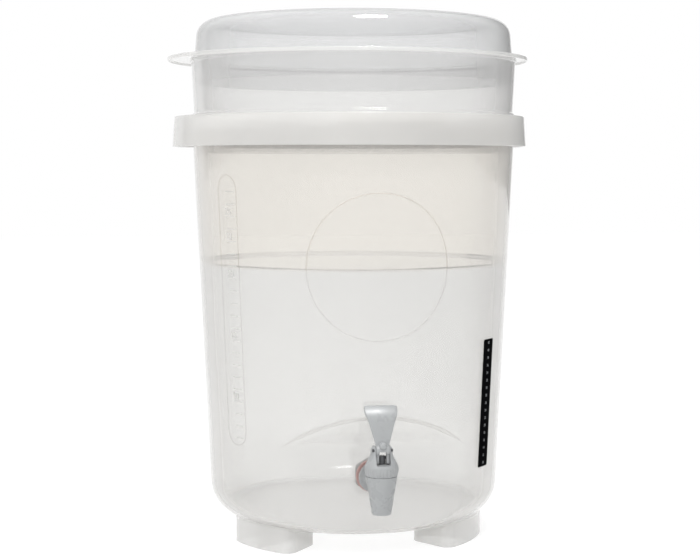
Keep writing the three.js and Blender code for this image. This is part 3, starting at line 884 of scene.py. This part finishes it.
tap_grey = moulded_plastic("grey_tap_plastic", (0.35, 0.36, 0.365), 0.3)
narrowing = (barrel_radius - spout_radius) / (barrel_top - spout_bottom)
seat_under = valve_seat - seat_thickness
bore_at_seat = spout_radius - spout_wall + narrowing * (seat_under - spout_bottom)
barrel_section = rounded([
    (spout_radius - spout_wall, spout_bottom, 0.5 * mm),
    (spout_radius, spout_bottom, 0.7 * mm),
    (barrel_radius, barrel_top, 0.3 * mm),
    (thread_radius, barrel_top, 0.2 * mm),
    *thread(thread_radius, barrel_top + 0.5 * mm, thread_top - 0.5 * mm, pitch=2 * mm, depth=0.7 * mm),
    (thread_radius - 0.4 * mm, thread_top, 0.4 * mm),
    (chamber_radius, thread_top, 0.4 * mm),
    (chamber_radius, valve_seat, 0.3 * mm),
    (seat_hole, valve_seat, 0.3 * mm),
    (seat_hole, seat_under, 0.3 * mm),
    (bore_at_seat, seat_under, 0.3 * mm),
])
tap_body = turned("tap_body_moulding", barrel_section, around(120), tap_grey, barrel_place)
neck_section = rounded([
    (shank_bore, neck_front, 0.2 * mm),
    (neck_radius, neck_front, 0.2 * mm),
    (neck_radius, flange_back - flange_plate, 1.6 * mm),
    (flange_radius, flange_back - flange_plate, 0.9 * mm),
    (flange_radius, flange_back, 0.5 * mm),
    (shank_radius, flange_back, 0.3 * mm),
    (shank_radius, shank_thread_start, 0.2 * mm),
    *thread(shank_radius, shank_thread_start, shank_end - 1 * mm, pitch=2.4 * mm, depth=0.9 * mm),
    (shank_radius - 0.8 * mm, shank_end, 0.5 * mm),
    (shank_bore, shank_end, 0.5 * mm),
])
combine(tap_body, turned("neck", neck_section, around(96), tap_grey, shank_place), "UNION")
inlet_front = (axis_x, axis_y + barrel_y, tap_height)
inlet_back = (axis_x, axis_y + barrel_y + inlet_reach, tap_height)
combine(tap_body, rod("inlet", inlet_front, inlet_back, shank_bore - 0.1 * mm, tap_grey), "DIFFERENCE")
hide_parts("tap_body")
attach(tap_body, "bucket")


# The rubber washers on the shank, a grey one outside the wall and a red one inside, which shows through
# it, and the six-sided plastic nut that pulls the tap up against them.
def rubber(name, colour):
    return moulded_plastic(name, colour, 0.62, texture=0.2)


def collar_on_shank(name, corners, material, place=shank_place, columns=96):
    return turned(name, rounded(corners), around(columns), material, place)


def washer(name, node, radius, start, end, material):
    corners = [
        (tap_bore, start, 0.2 * mm),
        (radius, start, 0.6 * mm),
        (radius, end, 0.6 * mm),
        (tap_bore, end, 0.2 * mm),
    ]
    ring = collar_on_shank(name, corners, material)
    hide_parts(node)
    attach(ring, "bucket")


grey_rubber = rubber("grey_washer_rubber", (0.1, 0.105, 0.11))
red_rubber = rubber("red_washer_rubber", (0.74, 0.4, 0.37))
clearance = 0.3 * mm
outer_washer_radius = 14.4 * mm
outer_washer_front = -panel_front - 2.7 * mm
outer_washer_back = -panel_front - clearance
inner_washer_radius = 16.4 * mm
inner_washer_front = panel_back + clearance
inner_washer_back = panel_back + 3.3 * mm
washer("outer_washer_rubber", "outer_washer", outer_washer_radius, outer_washer_front, outer_washer_back,
       grey_rubber)
washer("inner_washer_rubber", "inner_washer", inner_washer_radius, inner_washer_front, inner_washer_back,
       red_rubber)

nut_flats = 32 * mm
nut_corner = 17.6 * mm
nut_face = nut_flats / 2 - 0.4 * mm
nut_chamfer = 1.2 * mm
nut_front = inner_washer_back + clearance
nut_back = nut_front + 8 * mm


def nut_place(point, angle):
    """Turned like a washer, but cut off flat on six sides."""
    turn = (angle + math.pi / 6) % (math.pi / 3) - math.pi / 6
    radius = min(point[0], nut_flats / 2 / math.cos(turn))
    return radius * math.cos(angle), point[1], tap_height + radius * math.sin(angle)


nut_corners = [
    (tap_bore, nut_front, 0.3 * mm),
    (nut_face, nut_front, 0.3 * mm),
    (nut_corner, nut_front + nut_chamfer, 0.4 * mm),
    (nut_corner, nut_back - nut_chamfer, 0.4 * mm),
    (nut_face, nut_back, 0.3 * mm),
    (tap_bore, nut_back, 0.3 * mm),
]
back_nut = collar_on_shank("back_nut_moulding", nut_corners, tap_grey, nut_place, 144)
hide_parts("back_nut")
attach(back_nut, "bucket")


# The valve: a dark stem with a cross bar that the lever lifts, and the soft cup on its foot that closes
# the seat. They and the lever's pin keep the shapes they were packed with.
def dress(node, material):
    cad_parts[node].material_slots[0].material = material


dress("valve_stem", moulded_plastic("grey_stem_plastic", (0.17, 0.172, 0.18), 0.42))
dress("lever_pin", moulded_plastic("dark_pin_plastic", (0.06, 0.061, 0.065), 0.42))
dress("seat_cup", rubber("white_silicone", (0.66, 0.64, 0.6)))


# The return spring: a coil of drawn steel wire whose last turn at each end is closed. It stands between
# the seat cup and the bonnet's ceiling. The real one closes up as the stem rises; this coil is built at
# one length.
def spring_wire(name, colour):
    material, tree = empty_material(name)
    draw_marks = noise(tree, Scale=900.0, Detail=2.0)
    surface = new_node(tree, "ShaderNodeBsdfPrincipled", Base_Color=(*colour, 1), Metallic=1.0)
    tree.links.new(follow(tree, draw_marks, 0.22, 0.38), surface.inputs["Roughness"])
    finish_material(tree, surface)
    return material


wire_radius = 0.5 * mm
coil_radius = 5.4 * mm
closed_pitch = 1.15 * mm
open_turns = 5
turn_steps = 28
wire_sides = 10
spring_low, spring_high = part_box("return_spring")
coil_start = spring_low.z + wire_radius
coil_end = spring_high.z - wire_radius
open_pitch = (coil_end - coil_start - 2 * closed_pitch) / open_turns

coil_rows = []
for i in range((open_turns + 2) * turn_steps + 1):
    turns = i / turn_steps
    in_open = min(max(turns - 1, 0), open_turns)
    height = coil_start + closed_pitch * (turns - in_open) + open_pitch * in_open
    angle = 2 * math.pi * turns
    row = []
    for side in around(wire_sides):
        reach = coil_radius + wire_radius * math.cos(side)
        x, y, z = barrel_place((reach, height + wire_radius * math.sin(side)), angle)
        row.append((axis_x + x, axis_y + y, z))
    coil_rows.append(row)
drawn_wire = spring_wire("drawn_spring_wire", (0.5, 0.51, 0.52))
spring = woven("return_spring_coil", coil_rows, drawn_wire, wrap=False)
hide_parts("return_spring")
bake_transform(spring)


# The bonnet: a domed grey cap screwed on the barrel, with a fluted skirt and a slot right through its top
# that leaves two cheeks for the lever's pin.
bonnet_bottom = barrel_top + clearance
bonnet_base = 15 * mm
bonnet_radius = 16.6 * mm
bonnet_shoulder = bonnet_bottom + 5.5 * mm
bonnet_peak = bonnet_bottom + 29.5 * mm
bonnet_waist = 10.4 * mm
bonnet_tip = 8.6 * mm
bonnet_ceiling = thread_top + clearance
stem_hole = 3.45 * mm
slot_floor = bonnet_ceiling + 4 * mm
slot_half = 7 * mm
pin_y = barrel_y - 5 * mm
pin_z = bonnet_peak - 4 * mm
pin_hole = 1.75 * mm
flutes = 30
flute_depth = 0.22 * mm


def bonnet_place(point, angle):
    radius, z = point
    if radius > bonnet_base - 1 * mm and z < bonnet_shoulder + 2 * mm:
        radius += flute_depth * (math.cos(flutes * angle) - 1)
    return barrel_place((radius, z), angle)


bonnet_sides = []
bonnet_middle = bonnet_peak - (bonnet_peak - bonnet_bottom) / 2
bonnet_steps = 18
for i in range(bonnet_steps + 1):
    t = i / bonnet_steps
    weights = ((1 - t) ** 3, 3 * t * (1 - t) ** 2, 3 * t ** 2 * (1 - t), t ** 3)
    radii = (bonnet_radius, bonnet_radius, bonnet_waist, bonnet_waist)
    heights = (bonnet_shoulder, bonnet_middle, bonnet_middle, bonnet_peak - 2.5 * mm)
    spot = [sum(w * value for w, value in zip(weights, values)) for values in (radii, heights)]
    bonnet_sides.append((*spot, 0))
bonnet_section = rounded([
    (tap_bore, bonnet_bottom, 0.3 * mm),
    (bonnet_base + 0.4 * mm, bonnet_bottom, 0.3 * mm),
    *bonnet_sides,
    (bonnet_tip, bonnet_peak, 1.2 * mm),
    (stem_hole, bonnet_peak, 0.3 * mm),
    (stem_hole, bonnet_ceiling, 0.3 * mm),
    (tap_bore, bonnet_ceiling, 0.4 * mm),
])
bonnet = turned("bonnet_moulding", bonnet_section, around(240), tap_grey, bonnet_place)
slot_corner = 1.2 * mm
slot_top = slot_floor + 40 * mm
slot_outline = [(slot_half, slot_top), (-slot_half, slot_top)]
slot_outline += bow((-slot_half + slot_corner, slot_floor + slot_corner), slot_corner, 180, 270, 6)
slot_outline += bow((slot_half - slot_corner, slot_floor + slot_corner), slot_corner, 270, 360, 6)
slot_rows = []
for y in (barrel_y - 20 * mm, barrel_y + 20 * mm):
    slot_rows.append([(axis_x + x, axis_y + y, z) for x, z in slot_outline])
combine(bonnet, woven("bonnet_slot", slot_rows, tap_grey, wrap=False), "DIFFERENCE")


def pin_rod():
    left = (axis_x - 20 * mm, axis_y + pin_y, pin_z)
    right = (axis_x + 20 * mm, axis_y + pin_y, pin_z)
    return rod("pin_hole", left, right, pin_hole, tap_grey, 32)


combine(bonnet, pin_rod(), "DIFFERENCE")
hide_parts("tap_bonnet")
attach(bonnet, "bucket")


# The lever: a flared grey blade that leans back at its top, on a round hub with two legs. The toes behind
# the legs go under the stem's cross bar. A small nub stands on its front.
hub_radius = 5 * mm
leg_half = 6.6 * mm
gap_half = 3.7 * mm
# The blade's values are in millimetres: its line seen from the side, back and up from the pin, and half
# its width at a height above the pin
blade_half_thickness = 1.7
blade_corner = 0.9
blade_line = (
    (0, -1), (0.7, 5), (1.7, 12), (2.8, 20), (3.7, 26.5), (4.6, 30), (6.2, 32.8), (9, 36.2), (12.2, 39.8))
blade_end = ((12.8, 40.5), (13.2, 41.0), (13.5, 41.35))
blade_end_shrinks = ((0.35, 0.2), (1.0, 0.6), (1.9, 1.15))
blade_widths = ((5, 6.6), (29, 13.5), (34.5, 16.15), (60, 16.15))


def blade_half_width(up):
    """The blade's half width at a height above the pin, in millimetres: a waist, then a flare."""
    if up <= blade_widths[0][0]:
        return blade_widths[0][1]
    for (low, narrow), (high, wide) in zip(blade_widths, blade_widths[1:]):
        if up <= high:
            return narrow + (wide - narrow) * (up - low) / (high - low)
    return blade_widths[-1][1]


def lever_point(across, forward_back, up):
    return Vector((axis_x + across, axis_y + pin_y + forward_back, pin_z + up))


def flat_ring(half_width, half_thickness, corner):
    """A flat bar's outline (across, through), with round corners."""
    points = []
    for centre_x, centre_y, start in ((1, 1, 0), (-1, 1, 90), (-1, -1, 180), (1, -1, 270)):
        centre = (centre_x * (half_width - corner), centre_y * (half_thickness - corner))
        points += bow(centre, corner, start, start + 90, 4)
    return points


stations = [(y, z, blade_half_width(z), blade_half_thickness, blade_corner) for y, z in blade_line]
for (y, z), (narrower, thinner) in zip(blade_end, blade_end_shrinks):
    half_thickness = blade_half_thickness - thinner
    corner = min(blade_corner, half_thickness - 0.05)
    stations.append((y, z, blade_widths[-1][1] - narrower, half_thickness, corner))
blade_rows = []
for i, (y, z, half_width, half_thickness, corner) in enumerate(stations):
    before = stations[max(i - 1, 0)]
    after = stations[min(i + 1, len(stations) - 1)]
    along = Vector((after[0] - before[0], after[1] - before[1])).normalized()
    row = []
    for across, through in flat_ring(half_width, half_thickness, corner):
        row.append(lever_point(across * mm, (y + along.y * through) * mm, (z - along.x * through) * mm))
    blade_rows.append(row)
lever = woven("lever_moulding", blade_rows, tap_grey, wrap=False)


def side_slab(name, outline, half_width, edge):
    """A plate from a side view outline (back, up) in metres, across the lever, with softened edges."""
    count = len(outline)
    inward = []
    for i in range(count):
        before, after = Vector(outline[i - 1]), Vector(outline[(i + 1) % count])
        along = (after - before).normalized()
        inward.append(Vector((-along.y, along.x)))
    rows = []
    levels = [(-half_width, edge), (-half_width + edge * 0.3, edge * 0.3), (-half_width + edge, 0)]
    levels += [(-across, shrink) for across, shrink in reversed(levels)]
    for across, shrink in levels:
        row = []
        for spot, towards in zip(outline, inward):
            moved = Vector(spot) + towards * shrink
            row.append(lever_point(across, moved.x, moved.y))
        rows.append(row)
    return woven(name, rows, tap_grey, wrap=False)


hub = side_slab("hub", bow((0, 0), hub_radius, 0, 360, 48)[:-1], leg_half, 0.6 * mm)
leg_corners = [
    (-2.6 * mm, 1 * mm, 0),
    (-2.6 * mm, -13 * mm, 1.2 * mm),
    (9.5 * mm, -13 * mm, 1.2 * mm),
    (9.5 * mm, -9.8 * mm, 1.0 * mm),
    (2.4 * mm, -9.8 * mm, 1.6 * mm),
    (2.4 * mm, 1 * mm, 0),
]
legs = side_slab("legs", rounded(leg_corners), leg_half, 0.35 * mm)
combine(lever, hub, "UNION")
combine(lever, legs, "UNION")

nub_radius = 3.6 * mm
nub_up = 4.5 * mm
nub_forward = 6.2 * mm
nub_root = -1 * mm
gap_corner = 1.5 * mm
gap_corner_up = -2.5 * mm
gap_low = -30 * mm


def nub_place(point, angle):
    return point[0] * math.cos(angle), pin_y - point[1], pin_z + nub_up + point[0] * math.sin(angle)


nub_section = rounded([
    (0, nub_root, 0),
    (nub_radius, nub_root, 0),
    (nub_radius, nub_forward, 3.2 * mm),
    (0, nub_forward, 0),
])
combine(lever, turned("nub", nub_section, around(40), tap_grey, nub_place, closed=False), "UNION")
gap_outline = [(-gap_half, gap_low), (gap_half, gap_low)]
gap_outline += bow((gap_half - gap_corner, gap_corner_up), gap_corner, 0, 90, 5)
gap_outline += bow((-gap_half + gap_corner, gap_corner_up), gap_corner, 90, 180, 5)
gap_rows = [[lever_point(x, y, z) for x, z in gap_outline] for y in (-12 * mm, 16 * mm)]
combine(lever, woven("fork_gap", gap_rows, tap_grey, wrap=False), "DIFFERENCE")
combine(lever, pin_rod(), "DIFFERENCE")
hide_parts("tap_lever")
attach(lever, "lever")


# The thermometer strip: a thin black film with its corners rounded, stuck on the wall to the right of the
# tap, and a column of small grey numbers printed on it.
strip_azimuth = -90 + 50.5
strip_half_width = 10 * mm
strip_low, strip_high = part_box("thermometer_strip")
strip_middle = (strip_low.z + strip_high.z) / 2
strip_half_length = (strip_high.z - strip_low.z) / 2
strip_corner = 1.6 * mm
film = 0.35 * mm
film_steps = 24
number_count = 17
number_size = 4.0 * mm
number_relief = 0.08 * mm
film_black = moulded_plastic(
    "black_film", (0.003, 0.003, 0.0034), 0.5, texture=0.03, shine=0.1, bending=1.05)
print_grey = moulded_plastic("printed_grey", (0.24, 0.25, 0.26), 0.45, texture=0.03)

film_rows = []
for i in range(film_steps + 1):
    across = strip_half_width * math.sin(math.pi * (i / film_steps - 0.5))
    into_corner = max(0, abs(across) - (strip_half_width - strip_corner))
    round_part = math.sqrt(max(0, strip_corner ** 2 - into_corner ** 2))
    half_length = strip_half_length - strip_corner + round_part
    low_z, high_z = strip_middle - half_length, strip_middle + half_length
    ring = [(low_z, 0), (low_z, film), (high_z, film), (high_z, 0)]
    film_rows.append([wall_point(strip_azimuth, across, z, out) for z, out in ring])
strip = woven("thermometer_film", film_rows, film_black, wrap=False)
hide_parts("thermometer_strip")
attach(strip, "bucket")

number_parts = []
number_pitch = 2 * strip_half_length / number_count
off_wall = film + 0.03 * mm
for i in range(number_count):
    height = strip_middle - strip_half_length + number_pitch * (i + 0.5)
    degrees = str(10 + 2 * i)
    number = figures_on_wall(degrees, number_size, number_relief, strip_azimuth, 0, height, off_wall)
    number_parts.append(number)
strip_numbers = gathered("thermometer_numbers", number_parts, print_grey)
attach(strip_numbers, "bucket")


# The brew, which fills the vessel to a little over twenty litres: pale and slightly cloudy, with its
# surface drawn up a little where it meets the wall. Its surface shines and its underside mirrors softly.
# Its sides are against the wall and don't.
brew_gap = 0.2 * mm
surface_roughness = 0.06
underside_roughness = 0.5
underside_shine = 0.9


def cloudy_brew(name, colour, haze):
    material, tree = empty_material(name)
    through = new_node(tree, "ShaderNodeBsdfTranslucent", Color=(*colour, 1))
    clear = new_node(tree, "ShaderNodeBsdfTransparent", Color=(1, 1, 1, 1))
    shine = new_node(tree, "ShaderNodeBsdfGlossy", Color=(1, 1, 1, 1))
    height = height_on_object(tree)
    surface = remap(tree, height, brew_level - 2 * mm, brew_level - 1 * mm, 0, 1)
    underside = remap(tree, height, foot_height + 3 * mm, foot_height + 12 * mm, underside_shine, 0)
    level = calculate(tree, "ADD", surface, underside)
    roughness = remap(tree, surface, 0, 1, underside_roughness, surface_roughness)
    tree.links.new(roughness, shine.inputs["Roughness"])
    mirror = new_node(tree, "ShaderNodeFresnel", IOR=1.33).outputs[0]
    body = mixed_shader(tree, haze, clear, through)
    finish_material(tree, mixed_shader(tree, calculate(tree, "MULTIPLY", mirror, level), body, shine))
    return material


brew_inset = wall + brew_gap
brew_edge = wall_radius(brew_level) - brew_inset
brew_surface = [(brew_edge * share, brew_level, 0, brew_inset) for share in (0, 0.3, 0.6, 0.85)]
for inwards, rise in ((7, 0), (4, 0.25), (2.2, 0.8), (1.0, 1.6), (0.3, 2.4)):
    brew_surface.append((brew_edge - inwards * mm, brew_level + rise * mm, 0, brew_inset))
brew_section = brew_surface + inside_line(brew_level + 3 * mm, brew_inset)
brew_look = cloudy_brew("cloudy_brew", (0.99, 0.99, 0.99), 0.1)
brew = turned("brew_liquid", brew_section, around(200), brew_look, vessel_place, closed=False)
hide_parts("brew")
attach(brew, "bucket")


# The foam collar: a plain ring of the same plastic, pushed into the mouth so that it stands on its ledge
# and carries the lid above the foam.
collar_wall = 2.2 * mm
collar_bottom = collar_low.z
collar_top = collar_high.z
ledge_height = 2 * mm
ledge_seat = 1.4 * mm
rim_height = 3 * mm
rim_out = 0.9 * mm


def collar_radius(z):
    return wall_radius(z) - wall - 0.5 * mm


collar_plastic = frosted_plastic(
    "frosted_collar_plastic", (0.93, 0.925, 0.92), 0.14, 0.55, (0.972, 0.971, 0.968))
ledge = mouth + clearance
ledge_radius = wall_radius(mouth) - wall + ledge_seat
ledge_top = ledge + ledge_height
collar_rim = collar_top - rim_height
collar_section = rounded([
    (collar_radius(collar_bottom) - collar_wall, collar_bottom, 0.7 * mm),
    (collar_radius(collar_bottom), collar_bottom, 0.7 * mm),
    (collar_radius(ledge), ledge, 0.3 * mm),
    (ledge_radius, ledge, 0.4 * mm),
    (ledge_radius, ledge_top, 0.6 * mm),
    (collar_radius(ledge_top), ledge_top + ledge_radius - collar_radius(ledge_top), 1.0 * mm),
    (collar_radius(collar_rim), collar_rim, 0.5 * mm),
    (collar_radius(collar_rim) + rim_out, collar_rim + rim_out, 0.4 * mm),
    (collar_radius(collar_top) + rim_out, collar_top, 0.7 * mm),
    (collar_radius(collar_top) - collar_wall, collar_top, 0.7 * mm),
])
collar = turned("foam_collar_ring", collar_section, around(240), collar_plastic)
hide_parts("foam_collar")
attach(collar, "collar")


# The lid: a shallow dome with a round shoulder, an oval flange whose two ends are the lifting ears, with
# its edge turned down, and a plug underneath that holds it in the collar.
lid_wall = 2.3 * mm
lid_gap = 0.6 * mm
plug_depth = 24 * mm
lid_flange_reach = 2.6 * mm
lid_lobe_left = 21.3 * mm
lid_lobe_right = 9.4 * mm
lid_flange_thickness = 2.4 * mm
lip_depth = 4 * mm
lip_wall = 2 * mm
dome_step = 0.7 * mm
dome_lean = 2 * mm
dome_shoulder = 17 * mm
dome_crown = 4 * mm
crown_steps = 8
shoulder_steps = 16
lid_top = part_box("lid")[1].z
lid_under = collar_top + clearance
lid_flange_top = lid_under + lid_flange_thickness
lid_flange_front = collar_radius(collar_top) + rim_out + lid_flange_reach
plug_bottom = lid_under - plug_depth


def plug_radius(z):
    return collar_radius(z) - collar_wall - lid_gap


def lid_place(point, angle):
    radius = point[0] + point[2] * widening(lid_lobe_left, lid_lobe_right, angle)
    return radius * math.cos(angle), radius * math.sin(angle), point[1]


def dome_line(inset):
    """The dome's section from the axis out over the crown and down round the shoulder."""
    shoulder = dome_shoulder - inset
    turn = lid_top - dome_crown - dome_shoulder
    centre = plug_radius(lid_flange_top) - dome_step - inset - dome_lean - shoulder
    line = []
    for i in range(crown_steps):
        share = i / crown_steps
        line.append((centre * share, lid_top - inset - dome_crown * share ** 2, 0, 0))
    for i in range(shoulder_steps + 1):
        angle = math.radians(90 - 90 * i / shoulder_steps)
        line.append((centre + shoulder * math.cos(angle), turn + shoulder * math.sin(angle), 0, 0))
    return line


dome_foot = plug_radius(lid_flange_top) - dome_step
lid_section = rounded([
    *dome_line(0),
    (dome_foot, lid_flange_top, 1.2 * mm, 0),
    (lid_flange_front, lid_flange_top, 1.0 * mm, 1),
    (lid_flange_front, lid_flange_top - lip_depth, 0.9 * mm, 1),
    (lid_flange_front - lip_wall, lid_flange_top - lip_depth, 0.8 * mm, 1),
    (lid_flange_front - lip_wall, lid_under, 0.8 * mm, 1),
    (plug_radius(lid_under), lid_under, 0.8 * mm, 0),
    (plug_radius(plug_bottom), plug_bottom, 0.8 * mm, 0),
    (plug_radius(plug_bottom) - lid_wall, plug_bottom, 0.8 * mm, 0),
    (dome_foot - lid_wall, lid_flange_top, 0.8 * mm, 0),
    *reversed(dome_line(lid_wall)),
])
# The lid gets the strongest painted shade along its edges seen edge-on, which darkens the dome's top
# edge.
lid_plastic = frosted_plastic(
    "frosted_lid_plastic", (0.9, 0.905, 0.91), 0.22, 0.85, (0.97, 0.971, 0.972), edge_shade=0.45)
lid = turned("lid_moulding", lid_section, around(240), lid_plastic, lid_place, closed=False)
lid.data.materials.append(milky_plastic)
for polygon in lid.data.polygons:
    if math.hypot(polygon.center.x - axis_x, polygon.center.y - axis_y) > lid_flange_front - lip_wall:
        polygon.material_index = 1
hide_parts("lid")
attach(lid, "lid")
